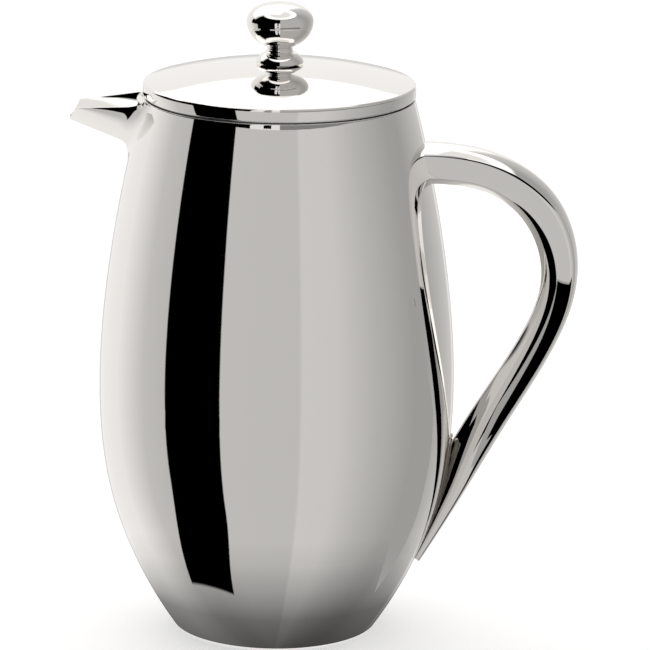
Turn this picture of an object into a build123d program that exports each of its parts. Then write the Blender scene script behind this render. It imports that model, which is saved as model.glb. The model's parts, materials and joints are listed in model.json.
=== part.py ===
from build123d import *
import os
from math import atan2, cos, degrees, hypot, radians, sin

# Double-wall steel french press.  Millimetres, +Z up, origin on the table under the axis.
# The handle points along +X and the spout along -X.

# Body: a barrel-shaped outer shell round a straight inner vessel.
SHELL_STATIONS = [
    (34.6, 1.0), (45.5, 19.2), (55.9, 46.5), (60.0, 81.0), (58.5, 112.1), (53.8, 144.9), (45.3, 183.1),
]  # radius and height along the outside of the shell
SHELL_WALL = 0.8
BASE_EDGE_RADIUS = 31.6
BASE_PLATE_RADIUS = 29.0
BASE_PLATE_THICKNESS = 1.0
RIM_HEIGHT = 183.1
RIM_RADIUS = 45.3
RIM_FLANGE = 0.6

VESSEL_RADIUS = 43.5
VESSEL_WALL = 0.6
VESSEL_FLOOR = 9.8
VESSEL_CORNER = 15.0

# Spout: a V-shaped channel, wider towards the body.
SPOUT_TIP_TOP = (-67.7, 179.2)
SPOUT_TIP_BOTTOM = (-70.3, 173.8)
SPOUT_TIP_HALF_WIDTH = 7.8
SPOUT_ROOT_HALF_WIDTH = 14.3
SPOUT_ROOT_TOP = (-44.0, 181.5)
SPOUT_ROOT_BOTTOM = (-51.1, 166.4)
SPOUT_WALL = 1.2
SPOUT_LOFT_ENDS = (-76.0, -38.0)
NOTCH_HALF_WIDTH = 12.2
NOTCH_BOTTOM = 168.6

# Handle: two pressed halves welded on the middle plane, tapering towards the lower tip.
HANDLE_TOP_HALF_WIDTH = 8.0
HANDLE_TIP_HALF_WIDTH = 5.0
HANDLE_TOP_HEIGHT = 165.0
HANDLE_TIP_HEIGHT = 24.0
HANDLE_WALL = 1.0
HANDLE_CAVITY_BOTTOM = 40.0
HANDLE_OUTER = [(44.0, 168.7), (60.5, 168.2), (76.6, 164.0), (92.9, 151.5), (100.9, 128.0), (93.6, 99.6)]
HANDLE_LOWER_ARM = [(62.6, 44.6), (56.8, 34.6), (49.8, 23.4)]
HANDLE_INSIDE_BODY = [(45.8, 25.2), (48.0, 50.0), (57.0, 61.6)]
HANDLE_INNER = [(79.4, 98.0), (88.6, 124.5), (79.7, 146.2), (63.5, 154.4), (44.0, 155.2)]

# Lid: a dome over a flat liner, with a slotted collar that dips into the vessel.
LID_RADIUS = 45.6
LID_SKIRT_BOTTOM = 183.5
LID_EDGE_HEIGHT = 188.0
LID_EDGE_ROUND = 2.0
LID_APEX = 194.6
LID_SHEET = 0.8
LINER_BOTTOM = 183.5
LINER_SHEET = 0.6
COLLAR_RADIUS = 42.0
COLLAR_WALL = 0.6
COLLAR_BOTTOM = 171.0
COLLAR_FLANGE_RADIUS = 38.0
SLOT_COUNT = 9
SLOT_WIDTH = 2.0
SLOT_PITCH = 6.0  # degrees
SLOT_BOTTOM = 172.6
SLOT_TOP = 178.4
SEAL_OUTER_RADIUS = 43.4
SEAL_BOTTOM = 179.4
SEAL_TOP = 182.4
SEAL_EDGE_ROUND = 0.4
RUNNING_CLEARANCE = 0.05

# Rod guide through the middle of the lid.
ROD_RADIUS = 2.5
GUIDE_RADIUS = 4.0
GUIDE_BOTTOM = 178.6
GUIDE_FLANGE_RADIUS = 5.8
GUIDE_FLANGE_TOP = 195.3
GUIDE_NUT_ACROSS_FLATS = 12.0
GUIDE_NUT_BOTTOM = 179.4

# Knob: one turned piece, with a foot, a waist and a flattened ball.
KNOB_BOTTOM = 194.9
KNOB_FOOT_RADIUS = 8.0
KNOB_FOOT_EDGE = 195.3
KNOB_RING = (5.3, 197.5)
KNOB_WAIST = (4.25, 199.2)
KNOB_NECK = (5.5, 200.9)
KNOB_HEAD_RADIUS = 11.15
KNOB_HEAD_HEIGHT = 208.8
KNOB_TOP = 215.0
KNOB_HEAD_DEPTH = 9.3
KNOB_CROWN_HEIGHTS = (208.8, 211.0, 213.2, 214.5, 215.0)
KNOB_CHEEK_HEIGHTS = (208.8, 205.8, 202.8, 200.9)
KNOB_RECESS_RADIUS = 6.3
KNOB_RECESS_TOP = 195.9
KNOB_BORE_TOP = 206.0

# Filter pack on the lower end of the rod, from the bottom up.
ROD_BOTTOM = 21.5
HUB_NUT_BOTTOM = 20.5
HUB_NUT_ACROSS_FLATS = 9.0
HUB_NUT_FLANGE_RADIUS = 8.0
CROSS_PLATE_BOTTOM = 25.6
CROSS_PLATE_RADIUS = 37.0
PLATE_SHEET = 0.8
SCREEN_BOTTOM = 26.4
SCREEN_SHEET = 0.4
SCREEN_RADIUS = 42.4
SCREEN_RIM_RADIUS = 43.1
SCREEN_RIM_BOTTOM = 26.1
SCREEN_RIM_TOP = 27.1
SCREEN_RIM_ROUND = 0.3
EYELET_RADIUS = 5.0
EYELET_TOP = 27.2
CARRIER_RADIUS = 40.3
CARRIER_LIP_RADIUS = 42.0
CARRIER_TOP = 31.2
CARRIER_HOLES = 8
CARRIER_HOLE_RADIUS = 7.0
CARRIER_HOLE_CIRCLE = 25.0
SPRING_RADIUS = 42.0
SPRING_COIL_RADIUS = 1.2
SPRING_HEIGHT = 28.9
ROD_COLLAR_RADIUS = 5.0
ROD_COLLAR_FLANGE_RADIUS = 9.0
ROD_COLLAR_TOP = 38.0
ROD_COLLAR_FLANGE = 1.2
ROD_END_CHAMFER = 0.4
HUB_NUT_FLANGE = 1.0
WINDOW_COUNT = 4
WINDOW_INNER_RADIUS = 11.0
WINDOW_OUTER_RADIUS = 32.0
WINDOW_ANGLE = 66.0

# Cutting bodies reach past what they cut by this much, or span the whole object.
CUT_PAST = 1.0
WIDE = 200.0


def spun(*outline):
    """Turn a closed (radius, height) polyline about the Z axis."""
    face = Plane.XZ * make_face(Polyline(*outline, close=True))
    return revolve(face, Axis.Z)


def ring(inner_radius, outer_radius, bottom, top):
    """A plain ring with a square section."""
    return spun((inner_radius, bottom), (outer_radius, bottom), (outer_radius, top), (inner_radius, top))


def outer_edges(solid):
    """The two widest round edges of a ring."""
    return solid.edges().filter_by(GeomType.CIRCLE).sort_by(SortBy.RADIUS)[-2:]


def disc(radius, bottom, top):
    """A plain round disc."""
    return Pos(0, 0, bottom) * extrude(Circle(radius), top - bottom)


def barrel(inset):
    """The solid inside the shell's outside face, moved inwards by inset."""
    stations = [moved_inwards(SHELL_STATIONS, index, inset) for index in range(len(SHELL_STATIONS))]
    top_radius, top = stations[-1]
    side = Spline(*stations)
    edge = Line(stations[0], (BASE_EDGE_RADIUS - inset, inset))
    base = Polyline((BASE_EDGE_RADIUS - inset, inset), (0, inset), (0, top), (top_radius, top))
    face = Plane.XZ * make_face([side, edge] + base.edges())
    return revolve(face, Axis.Z)


def moved_inwards(points, index, inset):
    """One point of an anticlockwise outline moved inwards along its normal."""
    before = points[max(index - 1, 0)]
    after = points[min(index + 1, len(points) - 1)]
    along_x, along_y = after[0] - before[0], after[1] - before[1]
    length = hypot(along_x, along_y)
    x, y = points[index]
    return x - inset * along_y / length, y + inset * along_x / length


def notch_cutter():
    """The V-shaped cut in both walls behind the spout."""
    top = RIM_HEIGHT + CUT_PAST
    slope = NOTCH_HALF_WIDTH / (RIM_HEIGHT - NOTCH_BOTTOM)
    half = slope * (top - NOTCH_BOTTOM)
    face = make_face(Polyline((0, NOTCH_BOTTOM), (half, top), (-half, top), close=True))
    return extrude(Plane.YZ * face, -2 * RIM_RADIUS)


def outer_shell():
    flange_room = disc(WIDE / 2, RIM_HEIGHT - RIM_FLANGE, RIM_HEIGHT + CUT_PAST)
    base_hole = disc(BASE_PLATE_RADIUS, -CUT_PAST, SHELL_WALL + CUT_PAST)
    return barrel(0) - barrel(SHELL_WALL) - flange_room - base_hole - notch_cutter()


def base_plate():
    return disc(BASE_PLATE_RADIUS, 0, BASE_PLATE_THICKNESS)


def inner_vessel():
    outside = VESSEL_RADIUS + VESSEL_WALL
    bottom = VESSEL_FLOOR - VESSEL_WALL
    cup = extrude(Circle(outside), RIM_HEIGHT - bottom)
    cup = fillet(cup.edges().group_by(Axis.Z)[0], VESSEL_CORNER)
    room = extrude(Circle(VESSEL_RADIUS), RIM_HEIGHT - VESSEL_FLOOR)
    room = fillet(room.edges().group_by(Axis.Z)[0], VESSEL_CORNER - VESSEL_WALL)
    cup = Pos(0, 0, bottom) * cup - Pos(0, 0, VESSEL_FLOOR) * room
    flange = ring(VESSEL_RADIUS, RIM_RADIUS, RIM_HEIGHT - RIM_FLANGE, RIM_HEIGHT)
    return cup + flange - notch_cutter()


def spout_section(x, wall):
    """The V at one distance from the axis, moved inwards by wall."""
    tip_x, tip_z = SPOUT_TIP_TOP
    root_x, root_z = SPOUT_ROOT_TOP
    share = (x - tip_x) / (root_x - tip_x)
    half = SPOUT_TIP_HALF_WIDTH + share * (SPOUT_ROOT_HALF_WIDTH - SPOUT_TIP_HALF_WIDTH)
    top = tip_z + share * (root_z - tip_z)
    low_x, low_z = SPOUT_TIP_BOTTOM
    slope = (SPOUT_ROOT_BOTTOM[1] - low_z) / (SPOUT_ROOT_BOTTOM[0] - low_x)
    bottom = low_z + slope * (x - low_x)
    half_angle = atan2(half, top - bottom)
    lift = wall / sin(half_angle)
    half *= (top - bottom - lift) / (top - bottom)
    bottom += lift
    outline = Polyline((0, bottom), (half, top), (-half, top), close=True)
    return Plane((x, 0, 0), x_dir=(0, 1, 0), z_dir=(1, 0, 0)) * make_face(outline)


def spout():
    far, near = SPOUT_LOFT_ENDS
    solid = loft([spout_section(far, 0), spout_section(near, 0)], ruled=True)
    channel = loft([spout_section(far, SPOUT_WALL), spout_section(near, SPOUT_WALL)], ruled=True)
    (top_x, top_z), (low_x, low_z) = SPOUT_TIP_TOP, SPOUT_TIP_BOTTOM
    lean = degrees(atan2(top_x - low_x, top_z - low_z))
    tip_cut = Pos(low_x, 0, low_z) * Rot(0, lean, 0) * Pos(-WIDE / 2, 0, 0) * Box(WIDE, WIDE, WIDE)
    return solid - channel - tip_cut - barrel(0)


def handle_face(inset):
    """The handle's outline in the middle plane, moved inwards by inset."""
    loop = HANDLE_INNER + HANDLE_OUTER + HANDLE_LOWER_ARM + HANDLE_INSIDE_BODY
    clockwise = [moved_inwards(loop, index, -inset) for index in range(len(loop))]
    inner_end = len(HANDLE_INNER)
    outer_end = inner_end + len(HANDLE_OUTER)
    inner = Spline(*clockwise[:inner_end])
    outer = Spline(*clockwise[inner_end:outer_end])
    root = Line(clockwise[inner_end - 1], clockwise[inner_end])
    lower = Polyline(*clockwise[outer_end - 1:], clockwise[0])
    return make_face([inner, root, outer] + lower.edges())


def handle_taper(inset):
    """A wedge that gives the handle its width at each height, on the +Y side."""
    slope = (HANDLE_TOP_HALF_WIDTH - HANDLE_TIP_HALF_WIDTH) / (HANDLE_TOP_HEIGHT - HANDLE_TIP_HEIGHT)
    low, high = 0, WIDE
    low_width = HANDLE_TIP_HALF_WIDTH - slope * (HANDLE_TIP_HEIGHT - low) - inset
    high_width = HANDLE_TOP_HALF_WIDTH + slope * (high - HANDLE_TOP_HEIGHT) - inset
    outline = Polyline((0, low), (low_width, low), (high_width, high), (0, high), close=True)
    return extrude(Plane.YZ * make_face(outline), WIDE)


def handle_half(side):
    """One pressed half; side is +1 for +Y and -1 for -Y."""
    reach = -HANDLE_TOP_HALF_WIDTH - CUT_PAST
    solid_tip = Box(WIDE, WIDE, 2 * HANDLE_CAVITY_BOTTOM)
    blank = extrude(Plane.XZ * handle_face(0), reach) & handle_taper(0)
    cavity = extrude(Plane.XZ * handle_face(HANDLE_WALL), reach) & handle_taper(HANDLE_WALL)
    half = blank - (cavity - solid_tip) - barrel(0)
    return half if side > 0 else mirror(half, Plane.XZ)


def dome_section(inset):
    """The area under the dome, moved inwards by inset."""
    radius = LID_RADIUS - inset
    edge = LID_EDGE_HEIGHT - inset
    apex = LID_APEX - inset
    rise, run = apex - edge, radius
    dome_radius = (rise**2 + run**2) / (2 * rise)
    centre = apex - dome_radius
    middle_r = run / 2
    middle_z = centre + (dome_radius**2 - middle_r**2) ** 0.5
    top = ThreePointArc((0, apex), (middle_r, middle_z), (radius, edge))
    side = Polyline((radius, edge), (radius, LID_SKIRT_BOTTOM), (0, LID_SKIRT_BOTTOM), (0, apex))
    face = make_face([top] + side.edges())
    shoulder = face.vertices().sort_by(lambda corner: corner.X + corner.Y)[-1]
    return fillet(shoulder, LID_EDGE_ROUND - inset)


def lid_dome():
    whole = revolve(Plane.XZ * dome_section(0), Axis.Z)
    hollow = revolve(Plane.XZ * dome_section(LID_SHEET), Axis.Z)
    return whole - hollow - disc(GUIDE_RADIUS, LID_SKIRT_BOTTOM, LID_APEX + CUT_PAST)


def lid_liner():
    return ring(GUIDE_RADIUS, LID_RADIUS - LID_SHEET, LINER_BOTTOM, LINER_BOTTOM + LINER_SHEET)


def strainer_collar():
    top = LINER_BOTTOM
    wall = COLLAR_RADIUS - COLLAR_WALL
    collar = spun(
        (COLLAR_FLANGE_RADIUS, top), (COLLAR_FLANGE_RADIUS, top - COLLAR_WALL), (wall, top - COLLAR_WALL),
        (wall, COLLAR_BOTTOM), (COLLAR_RADIUS, COLLAR_BOTTOM), (COLLAR_RADIUS, top),
    )
    slot = Box(2 * COLLAR_WALL + CUT_PAST, SLOT_WIDTH, SLOT_TOP - SLOT_BOTTOM)
    for index in range(SLOT_COUNT):
        turn = 180 + SLOT_PITCH * (index - (SLOT_COUNT - 1) / 2)
        collar -= Rot(0, 0, turn) * Pos(COLLAR_RADIUS, 0, (SLOT_TOP + SLOT_BOTTOM) / 2) * slot
    return collar


def lid_seal_ring():
    seal = ring(COLLAR_RADIUS + RUNNING_CLEARANCE, SEAL_OUTER_RADIUS, SEAL_BOTTOM, SEAL_TOP)
    return fillet(outer_edges(seal), SEAL_EDGE_ROUND)


def rod_guide():
    bore = ROD_RADIUS + RUNNING_CLEARANCE
    return ring(bore, GUIDE_RADIUS, GUIDE_BOTTOM, LID_APEX) + ring(
        bore, GUIDE_FLANGE_RADIUS, LID_APEX, GUIDE_FLANGE_TOP
    )


def guide_nut():
    hexagon = RegularPolygon(GUIDE_NUT_ACROSS_FLATS / 2, 6, major_radius=False)
    nut = Pos(0, 0, GUIDE_NUT_BOTTOM) * extrude(hexagon, LINER_BOTTOM - GUIDE_NUT_BOTTOM)
    return nut - disc(GUIDE_RADIUS, 0, LID_APEX)


def head_radius(height):
    """The knob head's radius at a height: two half ellipses."""
    depth = KNOB_TOP - KNOB_HEAD_HEIGHT if height > KNOB_HEAD_HEIGHT else KNOB_HEAD_DEPTH
    share = (height - KNOB_HEAD_HEIGHT) / depth
    return KNOB_HEAD_RADIUS * max(0.0, 1 - share**2) ** 0.5


def knob():
    crown_points = [(head_radius(height), height) for height in KNOB_CROWN_HEIGHTS]
    cheek_points = [(head_radius(height), height) for height in KNOB_CHEEK_HEIGHTS]
    crown = Spline(*crown_points, tangents=[(0, 1), (-1, 0)])
    cheek = Spline(*cheek_points, tangents=[(0, -1), (-1, -0.6)])
    neck_edge = Line(cheek_points[-1], KNOB_NECK)
    waist = ThreePointArc(KNOB_NECK, KNOB_WAIST, KNOB_RING)
    foot = Spline(KNOB_RING, (KNOB_FOOT_RADIUS, KNOB_FOOT_EDGE), tangents=[(1, -0.3), (0, -1)])
    under = Polyline((KNOB_FOOT_RADIUS, KNOB_FOOT_EDGE), (KNOB_FOOT_RADIUS, KNOB_BOTTOM), (0, KNOB_BOTTOM))
    axis = Line((0, KNOB_BOTTOM), (0, KNOB_TOP))
    face = make_face([crown, cheek, neck_edge, waist, foot, axis] + under.edges())
    turned = revolve(Plane.XZ * face, Axis.Z)
    recess = disc(KNOB_RECESS_RADIUS, KNOB_BOTTOM - CUT_PAST, KNOB_RECESS_TOP)
    return turned - recess - disc(ROD_RADIUS, KNOB_BOTTOM - CUT_PAST, KNOB_BORE_TOP)


def plunger_rod():
    rod = disc(ROD_RADIUS, ROD_BOTTOM, KNOB_BORE_TOP)
    return chamfer(rod.edges().filter_by(GeomType.CIRCLE), ROD_END_CHAMFER)


def hub_nut():
    hexagon = RegularPolygon(HUB_NUT_ACROSS_FLATS / 2, 6, major_radius=False)
    flange_bottom = CROSS_PLATE_BOTTOM - HUB_NUT_FLANGE
    nut = Pos(0, 0, HUB_NUT_BOTTOM) * extrude(hexagon, flange_bottom - HUB_NUT_BOTTOM)
    nut += disc(HUB_NUT_FLANGE_RADIUS, flange_bottom, CROSS_PLATE_BOTTOM)
    return nut - disc(ROD_RADIUS, ROD_BOTTOM, CROSS_PLATE_BOTTOM + CUT_PAST)


def cross_plate():
    plate = disc(CROSS_PLATE_RADIUS, CROSS_PLATE_BOTTOM, CROSS_PLATE_BOTTOM + PLATE_SHEET)
    sector = make_face(window_outline())
    window = Pos(0, 0, CROSS_PLATE_BOTTOM - CUT_PAST) * extrude(sector, PLATE_SHEET + 2 * CUT_PAST)
    for index in range(WINDOW_COUNT):
        plate -= Rot(0, 0, 360 / WINDOW_COUNT * index) * window
    return plate - disc(ROD_RADIUS, CROSS_PLATE_BOTTOM - CUT_PAST, SCREEN_BOTTOM + CUT_PAST)


def window_outline():
    """A ring sector centred on +X."""
    half = radians(WINDOW_ANGLE / 2)
    inner = [(WINDOW_INNER_RADIUS * cos(a), WINDOW_INNER_RADIUS * sin(a)) for a in (-half, 0, half)]
    outer = [(WINDOW_OUTER_RADIUS * cos(a), WINDOW_OUTER_RADIUS * sin(a)) for a in (-half, 0, half)]
    sides = [Line(inner[0], outer[0]), Line(inner[2], outer[2])]
    return [ThreePointArc(*inner), ThreePointArc(*outer)] + sides


def filter_screen():
    return ring(EYELET_RADIUS, SCREEN_RADIUS, SCREEN_BOTTOM, SCREEN_BOTTOM + SCREEN_SHEET)


def screen_rim():
    rim = ring(SCREEN_RADIUS, SCREEN_RIM_RADIUS, SCREEN_RIM_BOTTOM, SCREEN_RIM_TOP)
    return fillet(outer_edges(rim), SCREEN_RIM_ROUND)


def screen_eyelet():
    return ring(ROD_RADIUS, EYELET_RADIUS, SCREEN_BOTTOM, EYELET_TOP)


def spring_carrier():
    wall = CARRIER_RADIUS - PLATE_SHEET
    floor = EYELET_TOP + PLATE_SHEET
    carrier = spun(
        (ROD_RADIUS, EYELET_TOP), (CARRIER_RADIUS, EYELET_TOP), (CARRIER_RADIUS, CARRIER_TOP - PLATE_SHEET),
        (CARRIER_LIP_RADIUS, CARRIER_TOP - PLATE_SHEET), (CARRIER_LIP_RADIUS, CARRIER_TOP),
        (wall, CARRIER_TOP), (wall, floor), (ROD_RADIUS, floor),
    )
    hole = disc(CARRIER_HOLE_RADIUS, EYELET_TOP - CUT_PAST, floor + CUT_PAST)
    for index in range(CARRIER_HOLES):
        carrier -= Rot(0, 0, 360 / CARRIER_HOLES * index) * Pos(CARRIER_HOLE_CIRCLE, 0, 0) * hole
    return carrier


def rim_spring():
    return Pos(0, 0, SPRING_HEIGHT) * Torus(SPRING_RADIUS, SPRING_COIL_RADIUS)


def rod_collar():
    floor = EYELET_TOP + PLATE_SHEET
    hub = ring(ROD_RADIUS, ROD_COLLAR_FLANGE_RADIUS, floor, floor + ROD_COLLAR_FLANGE)
    return hub + ring(ROD_RADIUS, ROD_COLLAR_RADIUS, floor, ROD_COLLAR_TOP)


PARTS = {
    "outer_shell": outer_shell,
    "base_plate": base_plate,
    "inner_vessel": inner_vessel,
    "spout": spout,
    "handle_left_half": lambda: handle_half(1),
    "handle_right_half": lambda: handle_half(-1),
    "lid_dome": lid_dome,
    "lid_liner": lid_liner,
    "strainer_collar": strainer_collar,
    "lid_seal_ring": lid_seal_ring,
    "rod_guide": rod_guide,
    "guide_nut": guide_nut,
    "knob": knob,
    "plunger_rod": plunger_rod,
    "rod_collar": rod_collar,
    "spring_carrier": spring_carrier,
    "rim_spring": rim_spring,
    "filter_screen": filter_screen,
    "screen_rim": screen_rim,
    "screen_eyelet": screen_eyelet,
    "cross_plate": cross_plate,
    "hub_nut": hub_nut,
}


def main():
    os.makedirs("parts", exist_ok=True)
    for name, make in PARTS.items():
        export_step(make(), f"parts/{name}.step")


main()
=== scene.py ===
import json
import math

import bmesh
import bpy
import numpy as np
from mathutils import Matrix, Vector

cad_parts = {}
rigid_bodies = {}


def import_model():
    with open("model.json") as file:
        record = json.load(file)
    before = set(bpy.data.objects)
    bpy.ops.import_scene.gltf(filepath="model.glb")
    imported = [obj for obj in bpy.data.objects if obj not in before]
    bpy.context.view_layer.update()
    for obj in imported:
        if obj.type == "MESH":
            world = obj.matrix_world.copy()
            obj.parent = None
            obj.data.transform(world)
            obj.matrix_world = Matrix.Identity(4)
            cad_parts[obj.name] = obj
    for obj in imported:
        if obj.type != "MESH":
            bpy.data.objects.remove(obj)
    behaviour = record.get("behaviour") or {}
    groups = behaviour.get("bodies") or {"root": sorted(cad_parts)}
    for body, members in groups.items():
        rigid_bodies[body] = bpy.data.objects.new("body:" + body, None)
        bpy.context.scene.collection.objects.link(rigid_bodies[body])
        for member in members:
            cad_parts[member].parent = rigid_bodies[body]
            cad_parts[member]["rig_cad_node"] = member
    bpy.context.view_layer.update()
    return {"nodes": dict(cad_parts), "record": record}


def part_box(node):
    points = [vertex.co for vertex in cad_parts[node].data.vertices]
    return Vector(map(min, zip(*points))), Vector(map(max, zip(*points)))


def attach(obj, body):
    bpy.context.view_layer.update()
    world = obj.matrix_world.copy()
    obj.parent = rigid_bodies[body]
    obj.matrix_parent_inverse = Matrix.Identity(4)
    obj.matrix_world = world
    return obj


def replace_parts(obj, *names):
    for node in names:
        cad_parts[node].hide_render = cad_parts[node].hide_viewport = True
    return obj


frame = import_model()

# Metres in a millimetre. Lengths of the object are in millimetres throughout.
MM = 0.001

# The photograph's viewpoint, in metres: the handle points 3 degrees towards the camera.
YAW = math.radians(3.0)
CAMERA_OFFSET = 0.01613
CAMERA_DISTANCE = 1.5
CAMERA_HEIGHT = 0.48929
CAMERA_PITCH = math.radians(14.382)
CAMERA_ROLL = math.radians(0.708)
CAMERA_LENS = 253.83
SENSOR_WIDTH = 36.0
CLIP_START = 0.05
CLIP_END = 50

# Outside of the jug, as (radius, height): the same stations as the CAD shell.
SHELL_STATIONS = [
    (34.6, 1.0), (45.5, 19.2), (55.9, 46.5), (60.0, 81.0), (58.5, 112.1), (53.8, 144.9), (45.3, 183.1),
]
SHELL_MAX_RADIUS = 60.0
SHELL_TOP = 183.0
SHELL_WALL = 0.8
SHELL_EDGE_ROUND = 0.3
BASE_HOLE_RADIUS = 24.0
BASE_FLAT = 31.6
BASE_ROUND = 2.5

# Spout: straight top edges and ridge, as (X, height), with bulging flanks between them.
# Pairs are the value at the tip and the value at the root.
SPOUT_TIP_TOP = (-67.7, 179.2)
SPOUT_TIP_BOTTOM = (-70.3, 173.8)
SPOUT_ROOT_TOP = (-44.0, 181.5)
SPOUT_ROOT_BOTTOM = (-51.1, 166.4)
SPOUT_END_X = -43.6
SPOUT_HALF_WIDTHS = (7.8, 14.3)
SPOUT_WALL = 1.1
SPOUT_BULGES = (1.08, 1.55)
SPOUT_INNER_BULGES = (1.05, 1.3)
SPOUT_BLEND = 6.0
SPOUT_ROWS = 70
SPOUT_FLANK_STEPS = 28

# Handle stations from the upper root to the lower tip: outer point, inner point, as (X, Z).
HANDLE_STATIONS = [
    ((46.5, 168.7), (46.5, 155.0)), ((60.5, 168.2), (59.5, 154.9)), ((76.6, 164.0), (71.0, 152.3)),
    ((92.9, 151.5), (82.0, 143.8)), ((100.9, 128.0), (88.6, 126.0)), ((99.8, 116.4), (87.4, 115.5)),
    ((93.6, 99.6), (82.4, 103.5)), ((78.1, 72.1), (67.0, 77.8)), ((66.5, 51.5), (56.3, 58.0)),
    ((57.6, 36.0), (50.5, 42.0)), ((49.9, 23.5), (46.6, 26.0)),
]
# The same stations' section: crown rise, edge radius and the side face's inward lean in degrees.
HANDLE_SECTIONS = [
    (3.3, 0.7, 16), (3.3, 0.9, 16), (3.2, 1.6, 14), (3.0, 2.6, 12), (2.8, 2.8, 12), (2.6, 2.2, 16),
    (2.4, 1.5, 20), (2.0, 1.1, 21), (1.6, 0.8, 21), (1.2, 0.6, 20), (0.8, 0.4, 18),
]
# Half the handle's width at two heights, as (height, half width).
HANDLE_HALF_WIDTHS = ((24.0, 5.0), (165.0, 8.0))
HANDLE_ROWS = 240
HANDLE_BEVEL = 0.17
HANDLE_INNER_FLAT = 0.55
HANDLE_SIDE_BULGE = 0.045

# Weld beads beside the handle's lower arm.
WELD_TOP = 67.0
WELD_BOTTOM = 24.5
WELD_RADIUS = 0.8

# Lid: a shallow spherical dome of thin sheet with a turned-down skirt.
LID_RADIUS = 45.6
LID_SKIRT = 183.9
LID_EDGE = 188.0
LID_APEX = 194.6
LID_SHEET = 0.8
LID_HOLE_RADIUS = 4.05

# Knob: the ball's radius, the height where it is widest, and how far it reaches up and down from there.
KNOB_RADIUS = 11.15
KNOB_WIDEST = 208.9
KNOB_RISE = 6.1
KNOB_DROP = 9.4
KNOB_CHEEK_DROP = 8.3

# Rim spring: a coil of wire bent into a ring.
SPRING_TURNS = 150
SPRING_STEPS_PER_TURN = 14
SPRING_WIRE_SIDES = 6
SPRING_RING_RADIUS = 42.0
SPRING_COIL_RADIUS = 0.95
SPRING_WIRE_RADIUS = 0.25
SPRING_HEIGHT = 28.9

# Colour of the studio's light, and what the polished steel gives back of it.
LIGHT_COLOR = (1.0, 0.985, 0.965, 1)
STEEL_REFLECTANCE = 0.92

# Heights and radii of the cards round the knob.
CARD_FOOT = 189.5
CARD_RADIUS = 72
CARD_RING_INNER_RADIUS = 50

# ---------------------------------------------------------------- geometry helpers


def unit(v):
    return v / np.linalg.norm(v)


def spline_bends(points, steps):
    """Second derivatives of a C2 cubic spline at its points; the end spans bend evenly."""
    size = len(points)
    matrix = np.zeros((size, size))
    right = np.zeros(points.shape)
    matrix[0, :2] = 1, -1
    matrix[-1, -2:] = -1, 1
    for i in range(1, size - 1):
        before = steps[i - 1]
        after = steps[i]
        matrix[i, i - 1:i + 2] = before, 2 * (before + after), after
        right[i] = 6 * ((points[i + 1] - points[i]) / after - (points[i] - points[i - 1]) / before)
    return np.linalg.solve(matrix, right)


def curve_through(points, count):
    """Evenly numbered points on a C2 cubic spline through the given points."""
    points = np.array(points, float)
    steps = np.linalg.norm(np.diff(points, axis=0), axis=1)
    bend = spline_bends(points, steps)
    knots = np.concatenate([[0], np.cumsum(steps)])
    at = np.linspace(0, knots[-1], count)
    index = np.clip(np.searchsorted(knots, at, side="right") - 1, 0, len(points) - 2)
    length = steps[index][:, None]
    low = (at - knots[index])[:, None]
    high = length - low
    return (
        bend[index] * high**3 / (6 * length) + bend[index + 1] * low**3 / (6 * length)
        + (points[index] / length - bend[index] * length / 6) * high
        + (points[index + 1] / length - bend[index + 1] * length / 6) * low
    )


def corner_arc(before, corner, after, radius, steps):
    """Points on the arc that rounds a corner between its two neighbours."""
    to_before = unit(before - corner)
    to_after = unit(after - corner)
    half = math.acos(max(-1, min(1, float(to_before @ to_after)))) / 2
    cut = radius / math.tan(half)
    centre = corner + unit(to_before + to_after) * radius / math.sin(half)
    first = corner + to_before * cut - centre
    last = corner + to_after * cut - centre
    turn = math.pi - 2 * half
    points = []
    for k in range(steps + 1):
        share = k / steps
        first_weight = math.sin((1 - share) * turn) / math.sin(turn)
        last_weight = math.sin(share * turn) / math.sin(turn)
        points.append(centre + first_weight * first + last_weight * last)
    return points


def rounded(corners, radii, steps):
    """An open polyline with its inner corners replaced by arcs; radius 0 keeps a corner."""
    corners = [np.array(corner, float) for corner in corners]
    points = []
    for i, corner in enumerate(corners):
        if radii[i] == 0:
            points.append(corner)
        else:
            points += corner_arc(corners[i - 1], corner, corners[i + 1], radii[i], steps)
    return points


def add_object(name, points, faces):
    """An object made from points in millimetres."""
    mesh = bpy.data.meshes.new(name)
    mesh.from_pydata([tuple(c * MM for c in point) for point in points], [], faces)
    thing = bpy.data.objects.new(name, mesh)
    bpy.context.scene.collection.objects.link(thing)
    return thing


def make_piece(name, points, faces, sharp_angle):
    """A smooth-shaded object whose edges are sharp beyond an angle in degrees."""
    thing = add_object(name, points, faces)
    thing.data.validate()
    thing.data.update()
    thing.data.shade_smooth()
    thing.data.set_sharp_from_angle(angle=math.radians(sharp_angle))
    return thing


def grid_faces(rows, columns, close_rows=False, close_columns=False):
    """Quads over a rows by columns grid of points."""
    faces = []
    for i in range(rows if close_rows else rows - 1):
        for j in range(columns if close_columns else columns - 1):
            down = (i + 1) % rows
            across = (j + 1) % columns
            faces.append((
                i * columns + j, i * columns + across, down * columns + across, down * columns + j,
            ))
    return faces


def spun(name, outline, segments, sharp_angle):
    """A closed (radius, height) outline turned about the Z axis; points at radius 0 are allowed."""
    outline = np.array(outline, float)
    turns = np.arange(segments) * 2 * math.pi / segments
    rings = [
        np.stack([outline[:, 0] * math.cos(t), outline[:, 0] * math.sin(t), outline[:, 1]], axis=1)
        for t in turns
    ]
    faces = grid_faces(segments, len(outline), close_rows=True, close_columns=True)
    thing = make_piece(name, np.concatenate(rings), faces, sharp_angle)
    weld(thing)
    return thing


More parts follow.
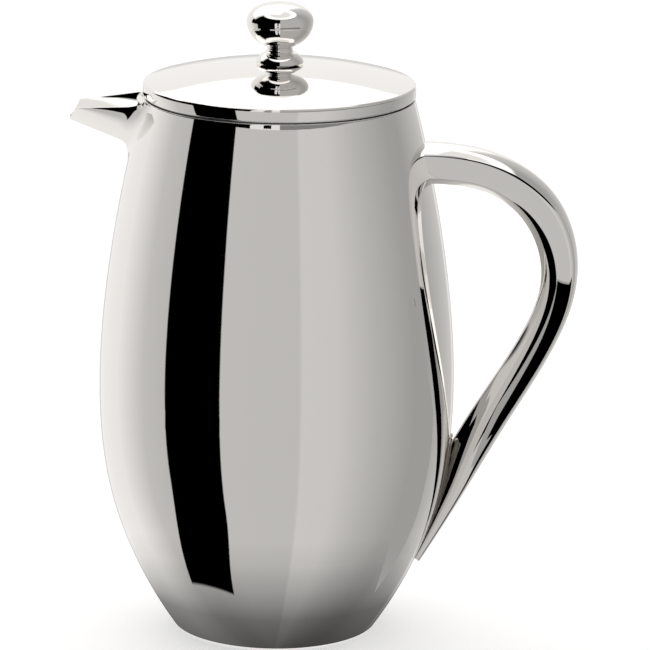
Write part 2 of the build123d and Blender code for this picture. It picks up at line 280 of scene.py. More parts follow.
def weld(thing, distance=1e-7):
    """Joins points that coincide, drops faces with no area and turns the faces outwards."""
    work = bmesh.new()
    work.from_mesh(thing.data)
    bmesh.ops.remove_doubles(work, verts=work.verts, dist=distance)
    bmesh.ops.dissolve_degenerate(work, edges=work.edges, dist=distance)
    bmesh.ops.recalc_face_normals(work, faces=work.faces)
    work.to_mesh(thing.data)
    work.free()


def drop_loose(thing):
    """Deletes points that no face uses."""
    work = bmesh.new()
    work.from_mesh(thing.data)
    loose = [v for v in work.verts if not v.link_faces]
    bmesh.ops.delete(work, geom=loose, context="VERTS")
    work.to_mesh(thing.data)
    work.free()


# ---------------------------------------------------------------- jug

SHELL_CURVE = curve_through(SHELL_STATIONS, 400)
SHELL_CURVE[:, 0] = np.minimum(SHELL_CURVE[:, 0], SHELL_MAX_RADIUS)


def shell_radius(height):
    return np.interp(height, SHELL_CURVE[:, 1], SHELL_CURVE[:, 0])


def line_at(x, tip, root):
    """Height at x of the straight line from tip to root."""
    return tip[1] + (x - tip[0]) * (root[1] - tip[1]) / (root[0] - tip[0])


def ridge_height(x):
    return line_at(x, SPOUT_TIP_BOTTOM, SPOUT_ROOT_BOTTOM)


def spout_top_height(x):
    return line_at(x, SPOUT_TIP_TOP, SPOUT_ROOT_TOP)


def spout_half_width(x, z, bulges=SPOUT_BULGES):
    """Half the spout's width at a place: 0 at the ridge, and negative below it."""
    tip_width, root_width = SPOUT_HALF_WIDTHS
    share = (x - SPOUT_TIP_TOP[0]) / (SPOUT_ROOT_TOP[0] - SPOUT_TIP_TOP[0])
    width = tip_width + share * (root_width - tip_width)
    h = (z - ridge_height(x)) / (spout_top_height(x) - ridge_height(x))
    bulge = bulges[0] + np.clip(share, 0, 1) * (bulges[1] - bulges[0])
    above_ridge = 1 - np.abs(1 - np.clip(h, 0, 1)) ** bulge
    return width * np.where(h < 0, bulge * h, above_ridge)


def body_gap(p):
    """Distance outside the jug's barrel."""
    return np.hypot(p[:, 0], p[:, 1]) - shell_radius(p[:, 2])


def spout_gap(p):
    """Roughly the distance outside the spout's flanks."""
    step = 0.05
    wide = spout_half_width(p[:, 0], p[:, 2])
    slope = (spout_half_width(p[:, 0], p[:, 2] + step) - wide) / step
    spread = (spout_half_width(p[:, 0] + step, p[:, 2]) - wide) / step
    flank = (np.abs(p[:, 1]) - wide) / np.sqrt(1 + slope**2 + spread**2)
    above = p[:, 2] - spout_top_height(p[:, 0])
    return np.maximum(flank, above)


def joined_gap(p):
    """Distance outside the barrel and the spout, blended with a fillet."""
    body = body_gap(p)
    beak = spout_gap(p)
    share = np.clip(0.5 + 0.5 * (beak - body) / SPOUT_BLEND, 0, 1)
    return beak * (1 - share) + body * share - SPOUT_BLEND * share * (1 - share)


def onto_blend(p):
    """Moves points onto the blended surface along its own slope."""
    rounds = 12
    step = 0.02
    steepness_floor = 0.2
    p = np.array(p, float)
    for _ in range(rounds):
        here = joined_gap(p)
        slope = np.stack([
            (joined_gap(p + np.eye(3)[axis] * step) - here) / step for axis in range(3)
        ], axis=1)
        p = p - slope * (here / np.maximum((slope**2).sum(1), steepness_floor))[:, None]
    return p


def shell_outline():
    """The shell from the hole in its base, up the outside and over the top edge."""
    bottom = rounded(
        [(BASE_HOLE_RADIUS, 0), (BASE_FLAT, 0), SHELL_STATIONS[0]], [0, BASE_ROUND, 0], 5,
    )[:-1]
    side = [point for point in SHELL_CURVE if point[1] <= SHELL_TOP - SHELL_EDGE_ROUND - 0.05]
    edge = shell_radius(SHELL_TOP)
    top = rounded(
        [side[-1], (edge, SHELL_TOP), (edge - SHELL_WALL, SHELL_TOP)], [0, SHELL_EDGE_ROUND, 0], 4,
    )[1:]
    return np.array(bottom + side + top)


def shell_turns():
    """Angles round the shell, in radians: quarter degrees behind the spout and whole ones elsewhere."""
    fine = np.linspace(-28, 28, 225)
    coarse = np.linspace(28, 332, 305)[1:-1]
    return np.radians(np.concatenate([fine, coarse]) + 180)


def near_spout(points):
    """Which of the shell's points the spout's fillet can reach."""
    outside = body_gap(points) > -0.4
    in_reach = spout_gap(points) < 3 * SPOUT_BLEND
    on_spout_side = (points[:, 0] < -30) & (points[:, 2] > 150)
    return outside & in_reach & on_spout_side


def outer_shell():
    """The barrel, pulled out into the fillet round the spout and open behind it."""
    outline = shell_outline()
    turns = shell_turns()
    rows, columns = len(turns), len(outline)
    points = np.stack([
        np.outer(np.cos(turns), outline[:, 0]), np.outer(np.sin(turns), outline[:, 0]),
        np.tile(outline[:, 1], (rows, 1)),
    ], axis=2).reshape(-1, 3)
    near = near_spout(points)
    # The opening reaches closer to the flanks at the top, where the shell's edge shows.
    margin = np.where(points[:, 2] > 178, 1.0, 0.45 * SPOUT_BLEND)
    opening = near & (spout_gap(points) < -margin)
    pulled = near & (points[:, 2] <= SHELL_TOP - SHELL_EDGE_ROUND)
    points[pulled] = onto_blend(points[pulled])
    faces = [
        face for face in grid_faces(rows, columns, close_rows=True) if not all(opening[k] for k in face)
    ]
    thing = make_piece("outer_shell_skin", points, faces, 30)
    drop_loose(thing)
    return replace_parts(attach(thing, "vessel"), "outer_shell")


def spout_places(share, across):
    """One point of the spout's outside and one of its inside.

    share runs from the tip to the root; across runs from one top edge, -1, over the ridge to the other.
    """
    h = abs(across)
    side = 1 if across >= 0 else -1
    low_x = SPOUT_TIP_BOTTOM[0] + share * (SPOUT_END_X - SPOUT_TIP_BOTTOM[0])
    high_x = SPOUT_TIP_TOP[0] + share * (SPOUT_END_X - SPOUT_TIP_TOP[0])
    x = low_x + h * (high_x - low_x)
    z = ridge_height(x) + h * (spout_top_height(x) - ridge_height(x))
    outside_width = float(spout_half_width(x, z))
    inside_width = max(0.0, float(spout_half_width(x, z, SPOUT_INNER_BULGES)) - SPOUT_WALL)
    if h <= 0.15:
        inside_width = 0.0
    lift = SPOUT_WALL * 1.5 * (1 - h) ** 2
    return (x, side * outside_width, z), (x, side * inside_width, z + lift)


def spout():
    """The beak: one closed sheet, its outside blended into the jug."""
    shares = [i / (SPOUT_ROWS - 1) for i in range(SPOUT_ROWS)]
    steps = [j / SPOUT_FLANK_STEPS for j in range(-SPOUT_FLANK_STEPS, SPOUT_FLANK_STEPS + 1)]
    places = np.array([[spout_places(share, across) for across in steps] for share in shares])
    outer, inner = places[:, :, 0], places[:, :, 1]
    gap = body_gap(outer.reshape(-1, 3)).reshape(outer.shape[:2])
    near = (gap < 2.5 * SPOUT_BLEND) & (gap > -0.2)
    outer[near] = onto_blend(outer[near])
    section = np.concatenate([outer, inner[:, ::-1]], axis=1)
    columns = section.shape[1]
    faces = grid_faces(SPOUT_ROWS, columns, close_columns=True)
    tip = [(j, j + 1, columns - 2 - j, columns - 1 - j) for j in range(columns // 2 - 1)]
    thing = make_piece("spout_beak", section.reshape(-1, 3), faces + tip, 40)
    weld(thing, 2e-6)
    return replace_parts(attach(thing, "vessel"), "spout")


# ---------------------------------------------------------------- handle

def handle_inner_face(inner_flat, side_low, face_start):
    """The handle's inner face and the bevel beside it, up to the start of the side face."""
    flat_end = (0, inner_flat)
    points = [np.array([0, t * inner_flat]) for t in np.linspace(0, 0.8, 4)]
    points += rounded([(0, 0), flat_end, side_low], [0, 0.7, 0], 5)[1:-1]
    points += rounded([flat_end, side_low, face_start], [0, 0.8, 0], 6)[1:-1]
    return points


def handle_section(thickness, half_width, rise, edge_radius, lean):
    """Half the handle's section, from the inner middle to the outer middle, as (across, sideways)."""
    bevel = HANDLE_BEVEL * thickness
    side_length = thickness - rise - bevel
    low_width = half_width - side_length * math.tan(math.radians(lean))
    crown_radius = (half_width**2 + rise**2) / (2 * rise)
    edge_angle = math.asin(half_width / crown_radius)

    def crown(angle):
        """A point on the outer face's arc."""
        centre = thickness - crown_radius
        return np.array([centre + crown_radius * math.cos(angle), crown_radius * math.sin(angle)])

    side_high = crown(edge_angle)
    side_low = np.array([bevel, low_width])
    down_side = unit(side_low - side_high)
    toward_crown = np.array([math.sin(edge_angle), -math.cos(edge_angle)])
    cut = edge_radius / math.tan(math.acos(float(down_side @ toward_crown)) / 2)
    high_end = side_high + down_side * cut
    bulge = HANDLE_SIDE_BULGE * side_length
    face = [
        side_low + (high_end - side_low) * t + np.array([0, 4 * bulge * t * (1 - t)])
        for t in np.linspace(0.12, 1, 12)
    ]
    inner = handle_inner_face(HANDLE_INNER_FLAT * low_width, side_low, face[0])
    crown_side = side_high + toward_crown * 3 * cut
    corner = rounded([side_low, side_high, crown_side], [0, edge_radius, 0], 9)[1:-1]
    start = edge_angle - cut / crown_radius
    top = [crown(angle) for angle in np.linspace(start, 0, 16)[1:]]
    return inner + face[:-1] + corner + top


def handle_half_width(height):
    heights, widths = zip(*HANDLE_HALF_WIDTHS)
    return np.interp(height, heights, widths)


def handle_row(out_point, in_point, section, side):
    """One station's points; section is its crown rise, edge radius and lean."""
    across = out_point - in_point
    thickness = float(np.linalg.norm(across))
    direction = across / thickness
    return [
        (in_point[0] + direction[0] * u, side * y, in_point[1] + direction[1] * u)
        for u, y in handle_section(thickness, handle_half_width(out_point[1]), *section)
    ]


def handle_half(side, node):
    """One pressed half of the handle, inside the CAD handle's reach; side is +1 for +Y and -1 for -Y."""
    outer = curve_through([station[0] for station in HANDLE_STATIONS], HANDLE_ROWS)
    inner = curve_through([station[1] for station in HANDLE_STATIONS], HANDLE_ROWS)
    sections = curve_through(HANDLE_SECTIONS, HANDLE_ROWS)
    outer[:, 0] = np.minimum(outer[:, 0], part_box(node)[1].x / MM)
    grid = np.array([handle_row(*row, side) for row in zip(outer, inner, sections)])
    columns = grid.shape[1]
    faces = grid_faces(HANDLE_ROWS, columns)
    tip = tuple(range((HANDLE_ROWS - 1) * columns, HANDLE_ROWS * columns))
    thing = make_piece(node + "_skin", grid.reshape(-1, 3), faces + [tip], 50)
    weld(thing)
    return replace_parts(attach(thing, "vessel"), node)


def weld_path(side):
    """The middle of a weld bead, on the shell beside the handle; it closes in at its upper end."""
    heights = np.linspace(WELD_TOP, WELD_BOTTOM, 170)
    widths = 0.66 * handle_half_width(heights) + 0.4
    widths = widths * np.clip((WELD_TOP + 1.2 - heights) / 3.0, 0, 1) ** 0.5
    return np.stack([np.sqrt(shell_radius(heights) ** 2 - widths**2), side * widths, heights], axis=1)


def weld_bead(side, name):
    """The brownish weld between the handle's lower end and the jug, on one side."""
    sides = 12
    centre = weld_path(side)
    heights = centre[:, 2]
    wobble = np.sin(heights * 2.1) * np.sin(heights * 5.3 + side) + 0.6 * np.sin(heights * 9.7)
    radius = WELD_RADIUS + 0.07 * wobble
    radius[[0, -1]] = 0.05
    out = np.stack([centre[:, 0], centre[:, 1], 0 * heights], axis=1)
    out /= np.linalg.norm(out, axis=1)[:, None]
    along = np.gradient(centre, axis=0)
    along /= np.linalg.norm(along, axis=1)[:, None]
    across = np.cross(along, out)
    turns = np.arange(sides) * 2 * math.pi / sides
    points = centre[:, None, :] + radius[:, None, None] * (
        out[:, None, :] * np.cos(turns)[None, :, None] + across[:, None, :] * np.sin(turns)[None, :, None]
    )
    faces = grid_faces(len(heights), sides, close_columns=True)
    thing = make_piece(name, points.reshape(-1, 3), faces, 60)
    weld(thing)
    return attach(thing, "vessel")


# ---------------------------------------------------------------- lid and plunger

def dome_height(r, inset):
    """Height of the dome at a radius, moved inwards by inset."""
    rise = LID_APEX - LID_EDGE
    sphere = (rise**2 + LID_RADIUS**2) / (2 * rise)
    return LID_APEX - sphere + math.sqrt((sphere - inset) ** 2 - r**2)


def lid_dome():
    """Spun dome with a turned-down skirt."""
    inner_radius = LID_RADIUS - LID_SHEET
    outside = [(r, dome_height(r, 0)) for r in np.linspace(LID_HOLE_RADIUS, LID_RADIUS, 60)]
    inside = [(r, dome_height(r, LID_SHEET)) for r in np.linspace(inner_radius, LID_HOLE_RADIUS, 40)]
    outer_edge = rounded([outside[-6], outside[-1], (LID_RADIUS, LID_SKIRT)], [0, 1.3, 0], 10)[1:-1]
    lip_corners = [
        (LID_RADIUS, LID_SKIRT + 1), (LID_RADIUS, LID_SKIRT),
        (inner_radius, LID_SKIRT), (inner_radius, LID_SKIRT + 1),
    ]
    lip = rounded(lip_corners, [0, 0.25, 0.25, 0], 3)[1:-1]
    inner_edge = rounded([(inner_radius, LID_SKIRT), inside[0], inside[5]], [0, 1.2, 0], 6)[1:-1]
    outline = outside[:-6] + outer_edge + lip + inner_edge + inside[6:]
    thing = spun("lid_dome_skin", outline, 320, 30)
    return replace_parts(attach(thing, "lid"), "lid_dome")


def knob():
    """One turned piece: foot, waist, neck and flattened ball."""
    crown = [
        (KNOB_RADIUS * math.cos(a) ** 0.9, KNOB_WIDEST + KNOB_RISE * math.sin(a))
        for a in np.linspace(math.pi / 2, 0, 40)
    ]
    cheek = [
        (KNOB_RADIUS * math.cos(a), KNOB_WIDEST - KNOB_DROP * math.sin(a))
        for a in np.linspace(0, math.asin(KNOB_CHEEK_DROP / KNOB_DROP), 36)[1:]
    ]
    waist = curve_through([(5.0, 200.45), (4.35, 199.9), (4.25, 199.2), (4.6, 198.5)], 14)
    foot = curve_through([(4.6, 198.5), (6.3, 197.6), (7.5, 196.2), (8.0, 195.2)], 18)[1:]
    under = [(7.9, 194.95), (6.3, 194.9), (6.3, 195.9), (0.0, 195.9)]
    thing = spun("knob_turned", [*crown, *cheek, *waist, *foot, *under], 192, 28)
    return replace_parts(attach(thing, "plunger"), "knob")


def coil_path(around, twist):
    """Points on the rim spring's centre line, by angle round the ring and angle round the coil."""
    r = SPRING_RING_RADIUS + SPRING_COIL_RADIUS * np.cos(twist)
    height = SPRING_HEIGHT + SPRING_COIL_RADIUS * np.sin(twist)
    return np.stack([r * np.cos(around), r * np.sin(around), height], axis=1)


def rim_spring():
    """The coil spring bent into a ring that pushes the screen against the wall."""
    count = SPRING_TURNS * SPRING_STEPS_PER_TURN
    around = np.arange(count) * 2 * math.pi / count
    twist = around * SPRING_TURNS
    centre = coil_path(around, twist)
    ahead = coil_path(around + 1e-4, twist + 1e-4 * SPRING_TURNS) - centre
    ahead /= np.linalg.norm(ahead, axis=1)[:, None]
    radial = np.stack([np.cos(around), np.sin(around), 0 * around], axis=1)
    out = radial * np.cos(twist)[:, None] + np.array([0, 0, 1]) * np.sin(twist)[:, None]
    side = np.cross(ahead, out)
    angles = [2 * math.pi * k / SPRING_WIRE_SIDES for k in range(SPRING_WIRE_SIDES)]
    points = np.stack([
        centre + SPRING_WIRE_RADIUS * (math.cos(angle) * out + math.sin(angle) * side)
        for angle in angles
    ], axis=1).reshape(-1, 3)
    faces = grid_faces(count, SPRING_WIRE_SIDES, close_rows=True, close_columns=True)
    thing = make_piece("rim_spring_coil", points, faces, 60)
    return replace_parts(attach(thing, "filter_spring"), "rim_spring")


# ---------------------------------------------------------------- materials

def new_material(name):
    """A material, its node tree and its Principled shader."""
    material = bpy.data.materials.new(name)
    material.use_nodes = True
    tree = material.node_tree
    return material, tree, tree.nodes["Principled BSDF"]


def add_noise(tree, scale, detail, stretch=(1, 1, 1)):
    """Noise in the part's own coordinates; scale is per metre."""
    place = tree.nodes.new("ShaderNodeTexCoord")
    mapping = tree.nodes.new("ShaderNodeMapping")
    mapping.inputs["Scale"].default_value = stretch
    noise = tree.nodes.new("ShaderNodeTexNoise")
    noise.inputs["Scale"].default_value = scale
    noise.inputs["Detail"].default_value = detail
    tree.links.new(place.outputs["Object"], mapping.inputs["Vector"])
    tree.links.new(mapping.outputs["Vector"], noise.inputs["Vector"])
    return noise.outputs["Fac"]


def add_range(tree, value, low, high, from_low=0.3, from_high=0.7):
    """Maps a value between from_low and from_high to a range."""
    node = tree.nodes.new("ShaderNodeMapRange")
    node.inputs["From Min"].default_value = from_low
    node.inputs["From Max"].default_value = from_high
    node.inputs["To Min"].default_value = low
    node.inputs["To Max"].default_value = high
    tree.links.new(value, node.inputs["Value"])
    return node.outputs["Result"]


def add_roughness(tree, shader, value, low, high):
    """Roughness between low and high, by noise."""
    tree.links.new(add_range(tree, value, low, high), shader.inputs["Roughness"])


def add_color(tree, shader, share, dark, light):
    """Base colour between dark and light, by share."""
    mix = tree.nodes.new("ShaderNodeMix")
    mix.data_type = "RGBA"
    mix.inputs["A"].default_value = (*dark, 1)
    mix.inputs["B"].default_value = (*light, 1)
    tree.links.new(share, mix.inputs["Factor"])
    tree.links.new(mix.outputs["Result"], shader.inputs["Base Color"])


def add_bump(tree, shader, value, strength, distance):
    """Relief from a value; distance is in metres."""
    node = tree.nodes.new("ShaderNodeBump")
    node.inputs["Strength"].default_value = strength
    node.inputs["Distance"].default_value = distance
    tree.links.new(value, node.inputs["Height"])
    tree.links.new(node.outputs["Normal"], shader.inputs["Normal"])


def polished_steel(name):
    """Mirror polish with faint polishing haze and hairline scratches."""
    roughness = 0.022
    tint = (0.93, 0.918, 0.9)
    material, tree, shader = new_material(name)
    shader.inputs["Metallic"].default_value = 1.0
    haze = add_noise(tree, 35, 4)
    add_roughness(tree, shader, haze, roughness * 0.7, roughness * 1.5)
    add_color(tree, shader, haze, [c * 0.985 for c in tint], tint)
    scratches = add_noise(tree, 1, 3, (2500, 2500, 220))
    add_bump(tree, shader, scratches, 0.02, 0.00002)
    return material


def satin_steel(name, roughness=0.28, tint=(0.74, 0.73, 0.715)):
    """Fine lathe-turned satin, with rings round the axis."""
    material, tree, shader = new_material(name)
    shader.inputs["Metallic"].default_value = 1.0
    rings = add_noise(tree, 1, 2, (260, 260, 9000))
    add_roughness(tree, shader, rings, roughness * 0.75, roughness * 1.35)
    add_color(tree, shader, add_noise(tree, 90, 4), [c * 0.9 for c in tint], tint)
    add_bump(tree, shader, rings, 0.15, 0.00005)
    return material


def add_wires(tree, place, direction):
    """Parallel wires across a direction, as a wave."""
    wave = tree.nodes.new("ShaderNodeTexWave")
    wave.bands_direction = direction
    wave.inputs["Scale"].default_value = 520
    tree.links.new(place.outputs["Object"], wave.inputs["Vector"])
    return wave.outputs["Fac"]


def woven_steel(name):
    """Woven wire cloth: dark holes between wires that run along X and Y."""
    material, tree, shader = new_material(name)
    shader.inputs["Metallic"].default_value = 1.0
    place = tree.nodes.new("ShaderNodeTexCoord")
    weave = math_node(tree, "MAXIMUM", add_wires(tree, place, "X"), add_wires(tree, place, "Y"))
    wire_share = add_range(tree, weave, 0, 1, 0.35, 0.75)
    add_color(tree, shader, wire_share, (0.05, 0.05, 0.05), (0.72, 0.71, 0.69))
    add_roughness(tree, shader, add_noise(tree, 400, 3), 0.3, 0.45)
    add_bump(tree, shader, weave, 0.6, 0.0002)
    return material


def silicone(name):
    """Black food-grade silicone with a fine matt grain."""
    material, tree, shader = new_material(name)
    grain = add_noise(tree, 900, 4)
    add_color(tree, shader, grain, (0.009, 0.009, 0.01), (0.02, 0.02, 0.021))
    add_roughness(tree, shader, grain, 0.45, 0.65)
    add_bump(tree, shader, grain, 0.2, 0.0001)
    return material


def paint(thing, material):
    """Gives a piece its material in place of any it had."""
    thing.data.materials.clear()
    thing.data.materials.append(material)


# ---------------------------------------------------------------- studio

def math_node(tree, kind, *values):
    """Result of a Math node; values are sockets or numbers."""
    node = tree.nodes.new("ShaderNodeMath")
    node.operation = kind
    for socket, value in zip(node.inputs, values):
        if isinstance(value, (int, float)):
            socket.default_value = value
        else:
            tree.links.new(value, socket)
    return node.outputs[0]


def ramp(tree, value, low, high, stops):
    """A level that runs straight between (value, level) stops; the stops lie between low and high."""
    node = tree.nodes.new("ShaderNodeMapRange")
    node.inputs["From Min"].default_value = low
    node.inputs["From Max"].default_value = high
    tree.links.new(value, node.inputs["Value"])
    colors = tree.nodes.new("ShaderNodeValToRGB")
    tree.links.new(node.outputs["Result"], colors.inputs["Fac"])
    elements = colors.color_ramp.elements
    while len(elements) > 1:
        elements.remove(elements[-1])
    for k, (at, level) in enumerate(stops):
        share = (at - low) / (high - low)
        element = elements[0] if k == 0 else elements.new(share)
        element.position = share
        element.color = (level, level, level, 1)
    return colors.outputs["Color"]


def by_azimuth(tree, azimuth, stops):
    return ramp(tree, azimuth, -180, 180, stops)


def by_elevation(tree, elevation, stops):
    return ramp(tree, elevation, -90, 90, stops)


def gray(level):
    """Light that shows as an 8-bit gray in the polished steel."""
    share = level / 255
    return (((share + 0.055) / 1.055) ** 2.4) / STEEL_REFLECTANCE


def wall_light(tree, azimuth, elevation):
    """The studio's walls, by direction: lightest behind the object and darkest on the handle's side."""
    round_about = by_azimuth(tree, azimuth, [
        (-180, gray(240)), (-125, gray(230)), (-108, gray(210)), (-95, gray(190)),
        (-76, gray(183)), (-36, gray(189)), (15, gray(187)), (17, gray(200)), (40, gray(198)),
        (67, gray(178)), (97, gray(158)), (112, gray(156)), (135, gray(178)), (158, gray(197)),
        (163, gray(236)), (180, gray(240)),
    ])
    floor_falloff = by_elevation(tree, elevation, [(-90, 0.95), (-54, 1.0), (90, 1.0)])
    return math_node(tree, "MULTIPLY", round_about, floor_falloff)


def flag_spread(tree, elevation, start, width, amount):
    """How far an edge of the flag leans out below a start elevation."""
    below = math_node(tree, "DIVIDE", math_node(tree, "SUBTRACT", start, elevation), width)
    low = math_node(tree, "MAXIMUM", below, 0.0)
    return math_node(tree, "MULTIPLY", math_node(tree, "MULTIPLY", low, low), amount)


def beside_flag(tree, azimuth, elevation):
    """0 on a tall black flag left of the camera, whose sides lean out lower down and whose foot slants."""
    right_lean = flag_spread(tree, elevation, -35, 25, 14)
    left_lean = flag_spread(tree, elevation, -25, 25, 19)
    right_of = math_node(tree, "SUBTRACT", math_node(tree, "ADD", azimuth, right_lean), -36)
    left_of = math_node(tree, "SUBTRACT", -76, math_node(tree, "ADD", azimuth, left_lean))
    foot = math_node(tree, "MULTIPLY_ADD", math_node(tree, "ADD", azimuth, 60), -0.29, -62)
    below_foot = math_node(tree, "SUBTRACT", foot, elevation)
    beside = math_node(tree, "MAXIMUM", right_of, left_of)
    beside_share = ramp(tree, beside, -1, 1, [(-0.3, 0), (0.3, 1)])
    foot_share = ramp(tree, below_foot, -2, 2, [(-0.5, 0), (0.5, 1)])
    return math_node(tree, "MAXIMUM", beside_share, foot_share)


def outside_room(tree, azimuth, elevation):
    """0 in the unlit room above and to both sides of the camera."""
    room = math_node(
        tree, "MULTIPLY", by_azimuth(tree, azimuth, [(-102, 0), (-99, 1), (68, 1), (75, 0)]),
        by_elevation(tree, elevation, [(19, 0), (21, 1)]),
    )
    return math_node(tree, "SUBTRACT", 1.0, room)


def backdrop_share(tree, ray):
    """A round patch of the far wall, opposite the camera, is a little darker than the rest."""
    along = tree.nodes.new("ShaderNodeVectorMath")
    along.operation = "DOT_PRODUCT"
    tree.links.new(ray, along.inputs[0])
    level = math.cos(CAMERA_PITCH)
    along.inputs[1].default_value = (
        -math.sin(YAW) * level, math.cos(YAW) * level, -math.sin(CAMERA_PITCH),
    )
    return ramp(tree, along.outputs["Value"], -1, 1, [(0.955, 1), (0.975, 0.72)])


def ceiling_light(tree, azimuth, elevation):
    """The bright ceiling, and the bright upper wall behind the object."""
    ceiling = by_elevation(tree, elevation, [(52, 0), (57, 1.25), (66, 1.2), (71, 0.84)])
    behind = math_node(
        tree, "MULTIPLY", by_azimuth(tree, azimuth, [(-112, 1), (-106, 0), (160, 0), (165, 1)]),
        by_elevation(tree, elevation, [(22, 0), (25, 1.25)]),
    )
    return math_node(tree, "MAXIMUM", ceiling, behind)


def studio_light(tree, ray):
    """The light that comes from a direction; azimuth 0 is the camera's side."""
    split = tree.nodes.new("ShaderNodeSeparateXYZ")
    tree.links.new(ray, split.inputs[0])
    back = math_node(tree, "MULTIPLY", split.outputs["Y"], -1.0)
    turn = math_node(tree, "DEGREES", math_node(tree, "ARCTAN2", split.outputs["X"], back))
    azimuth = math_node(tree, "SUBTRACT", turn, math.degrees(YAW))
    elevation = math_node(tree, "DEGREES", math_node(tree, "ARCSINE", split.outputs["Z"]))
    light = wall_light(tree, azimuth, elevation)
    light = math_node(tree, "MULTIPLY", light, beside_flag(tree, azimuth, elevation))
    light = math_node(tree, "MULTIPLY", light, outside_room(tree, azimuth, elevation))
    light = math_node(tree, "MULTIPLY", light, backdrop_share(tree, ray))
    return math_node(tree, "MAXIMUM", light, ceiling_light(tree, azimuth, elevation))


def studio():
    """A world that lights the object by direction and is plain white to the camera itself."""
    world = bpy.data.worlds.new("studio")
    bpy.context.scene.world = world
    world.use_nodes = True
    tree = world.node_tree
    tree.nodes.clear()
    place = tree.nodes.new("ShaderNodeTexCoord")
    warm = tree.nodes.new("ShaderNodeMix")
    warm.data_type = "RGBA"
    warm.blend_type = "MULTIPLY"
    warm.inputs["Factor"].default_value = 1.0
    warm.inputs["B"].default_value = LIGHT_COLOR
    lit = tree.nodes.new("ShaderNodeBackground")
    plain = tree.nodes.new("ShaderNodeBackground")
    plain.inputs["Color"].default_value = (1, 1, 1, 1)
    path = tree.nodes.new("ShaderNodeLightPath")
    choose = tree.nodes.new("ShaderNodeMixShader")
    output = tree.nodes.new("ShaderNodeOutputWorld")
    tree.links.new(studio_light(tree, place.outputs["Generated"]), warm.inputs["A"])
    tree.links.new(warm.outputs["Result"], lit.inputs["Color"])
    tree.links.new(path.outputs["Is Camera Ray"], choose.inputs["Fac"])
    tree.links.new(lit.outputs[0], choose.inputs[1])
    tree.links.new(plain.outputs[0], choose.inputs[2])
    tree.links.new(choose.outputs[0], output.inputs["Surface"])


def only_reflected(thing):
    """Makes a studio piece show in reflections and nowhere else."""
    thing.visible_camera = False
    thing.visible_diffuse = False
    thing.visible_shadow = False


def card(name, corners, level=0.0):
    """A flat card, black or glowing at a level, that only reflections see."""
    thing = add_object(name, corners, [tuple(range(len(corners)))])
    material, _, shader = new_material(name)
    shader.inputs["Base Color"].default_value = (0, 0, 0, 1)
    shader.inputs["Specular IOR Level"].default_value = 0
    shader.inputs["Emission Color"].default_value = LIGHT_COLOR
    shader.inputs["Emission Strength"].default_value = level
    thing.data.materials.append(material)
    only_reflected(thing)


def card_turns(start, end):
    """Angles in radians that split an arc into eight cards."""
    return [math.radians(t) - YAW for t in np.linspace(start, end, 9)]


def at_azimuth(radius, turn, height):
    return radius * math.sin(turn), -radius * math.cos(turn), height


def round_card(name, radius, start, end, low, high, level=0.0):
    """Upright cards in an arc about the axis, between two azimuths in degrees."""
    turns = card_turns(start, end)
    for k, (a, b) in enumerate(zip(turns[:-1], turns[1:])):
        corners = [
            at_azimuth(radius, a, low), at_azimuth(radius, b, low),
            at_azimuth(radius, b, high), at_azimuth(radius, a, high),
        ]
        card(f"{name}_{k}", corners, level)


def ring_card(name, start, end, level=0.0):
    """Flat cards inside an arc of upright ones, level with their foot."""
    turns = card_turns(start, end)
    for k, (a, b) in enumerate(zip(turns[:-1], turns[1:])):
        corners = [
            at_azimuth(CARD_RING_INNER_RADIUS, a, CARD_FOOT), at_azimuth(CARD_RADIUS, a, CARD_FOOT),
            at_azimuth(CARD_RADIUS, b, CARD_FOOT), at_azimuth(CARD_RING_INNER_RADIUS, b, CARD_FOOT),
        ]
        card(f"{name}_{k}", corners, level)


def handle_card(name, y, outline, level=0.0):
    """A card in the plane at y, in front of the handle's lower arm."""
    card(name, [(x, y, z) for x, z in outline], level)


def cards():
    """Cards close to the knob and beside the handle's lower arm, which a world alone can't give."""
    round_card("knob_black", CARD_RADIUS, -72, -10, CARD_FOOT, 245)
    ring_card("knob_black_ring", -72, -10)
    round_card("knob_black_far", 110, -102, -70, 200, 250)
    round_card("knob_stand_low", CARD_RADIUS - 1, -2.2, 2.2, 189.6, 199)
    round_card("knob_stand_high", CARD_RADIUS - 1, -2.2, 2.2, 206, 230)
    round_card("knob_glow", CARD_RADIUS, -10, 7, CARD_FOOT, 230, 0.8)
    round_card("knob_gray", CARD_RADIUS, 7, 75, CARD_FOOT, 290, 0.46)
    ring_card("knob_gray_ring", 7, 75, 0.22)
    handle_card("handle_black", -20, [
        (86, 119), (80, 102), (68, 75), (62, 55), (58, 39), (52, 22), (48, 8), (118, 8), (118, 119),
    ])
    handle_card("handle_cover", -20.5, [
        (86, 119.5), (74, 102), (62, 81), (59, 52), (50, 20), (46, 7), (118.5, 7), (118.5, 119.5),
    ], 0.36)


def shade_material(name, attribute):
    """Black where the attribute is 1 and clear where it is 0."""
    material, tree, shader = new_material(name)
    tree.nodes.remove(shader)
    value = tree.nodes.new("ShaderNodeAttribute")
    value.attribute_name = attribute
    clear = tree.nodes.new("ShaderNodeBsdfTransparent")
    dark = tree.nodes.new("ShaderNodeEmission")
    dark.inputs["Color"].default_value = (0, 0, 0, 1)
    mix = tree.nodes.new("ShaderNodeMixShader")
    tree.links.new(value.outputs["Fac"], mix.inputs["Fac"])
    tree.links.new(clear.outputs[0], mix.inputs[1])
    tree.links.new(dark.outputs[0], mix.inputs[2])
    tree.links.new(mix.outputs[0], tree.nodes["Material Output"].inputs["Surface"])
    return material


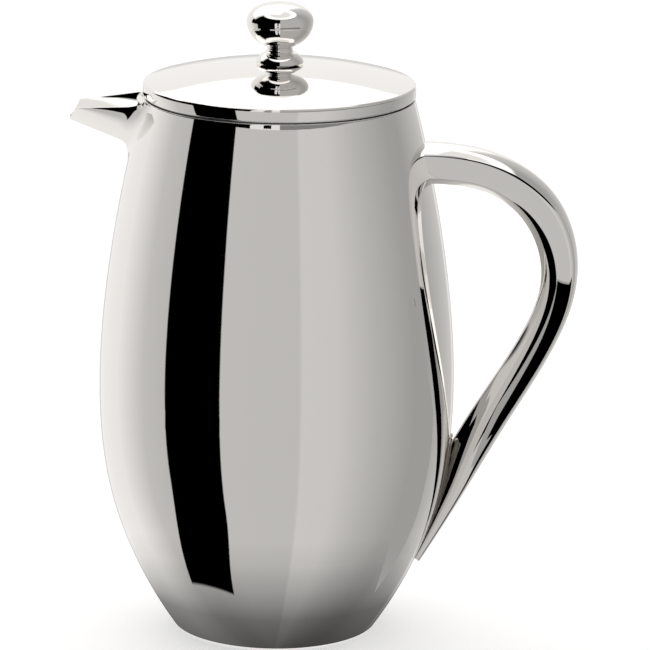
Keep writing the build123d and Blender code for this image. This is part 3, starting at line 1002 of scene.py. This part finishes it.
def contact_shade():
    """The floor darkens towards the foot of the jug; only reflections see this."""
    rings = [(34, 0.85), (45, 0.72), (52, 0.52), (60, 0.34), (75, 0.12), (95, 0.0)]
    segments = 96
    height = 0.3
    turns = np.arange(segments) * 2 * math.pi / segments
    points = [(r * math.cos(t), r * math.sin(t), height) for r, _ in rings for t in turns]
    thing = add_object("contact_shade", points, grid_faces(len(rings), segments, close_columns=True))
    shade = thing.data.attributes.new("shade", "FLOAT", "POINT")
    levels = np.repeat([level for _, level in rings], segments).astype(np.float32)
    shade.data.foreach_set("value", levels)
    thing.data.materials.append(shade_material("contact_shade", "shade"))
    only_reflected(thing)


def floor():
    """A plain, nearly white floor that takes a soft shadow."""
    size = 6000
    corners = [(-size, -size, 0), (size, -size, 0), (size, size, 0), (-size, size, 0)]
    thing = add_object("floor", corners, [(0, 1, 2, 3)])
    material, _, shader = new_material("pale_floor")
    shader.inputs["Base Color"].default_value = (0.8, 0.8, 0.8, 1)
    shader.inputs["Roughness"].default_value = 0.9
    shader.inputs["Emission Color"].default_value = (1, 1, 1, 1)
    shader.inputs["Emission Strength"].default_value = 0.55
    thing.data.materials.append(material)
    thing.visible_glossy = False


def camera():
    """The photograph's camera, turned into the part's frame."""
    data = bpy.data.cameras.new("camera")
    data.lens = CAMERA_LENS
    data.sensor_width = SENSOR_WIDTH
    data.clip_start = CLIP_START
    data.clip_end = CLIP_END
    thing = bpy.data.objects.new("camera", data)
    bpy.context.scene.collection.objects.link(thing)
    turn = Matrix.Rotation(YAW, 3, "Z")
    forward = turn @ Vector((0, math.cos(CAMERA_PITCH), -math.sin(CAMERA_PITCH)))
    up = turn @ Vector((0, math.sin(CAMERA_PITCH), math.cos(CAMERA_PITCH)))
    right = turn @ Vector((1, 0, 0))
    rolled_right = right * math.cos(CAMERA_ROLL) + up * math.sin(CAMERA_ROLL)
    rolled_up = up * math.cos(CAMERA_ROLL) - right * math.sin(CAMERA_ROLL)
    axes = Matrix((rolled_right, rolled_up, -forward)).transposed().to_4x4()
    axes.translation = turn @ Vector((CAMERA_OFFSET, -CAMERA_DISTANCE, CAMERA_HEIGHT))
    thing.matrix_world = axes
    bpy.context.scene.camera = thing


# ---------------------------------------------------------------- scene

studio()
floor()
cards()
contact_shade()
camera()
bpy.context.scene.view_settings.view_transform = "Standard"

mirror = polished_steel("polished_steel")
satin = satin_steel("satin_steel")
by_slot = {
    "polished_steel": mirror,
    "satin_steel": satin,
    "spring_steel": satin,
    "steel_mesh": woven_steel("steel_mesh"),
    "seal_silicone": silicone("seal_silicone"),
}
for entry in frame["record"]["subparts"]:
    paint(frame["nodes"][entry["node"]], by_slot[entry["material_slot"]])
brushed = satin_steel("brushed_inside", 0.42, (0.88, 0.87, 0.855))
paint(frame["nodes"]["inner_vessel"], brushed)

halves = [handle_half(1, "handle_left_half"), handle_half(-1, "handle_right_half")]
for piece in [outer_shell(), spout(), *halves, lid_dome(), knob()]:
    paint(piece, mirror)
weld_steel = satin_steel("weld_steel", 0.45, (0.8, 0.73, 0.64))
for bead in [weld_bead(1, "handle_weld_left"), weld_bead(-1, "handle_weld_right")]:
    paint(bead, weld_steel)
paint(rim_spring(), satin)
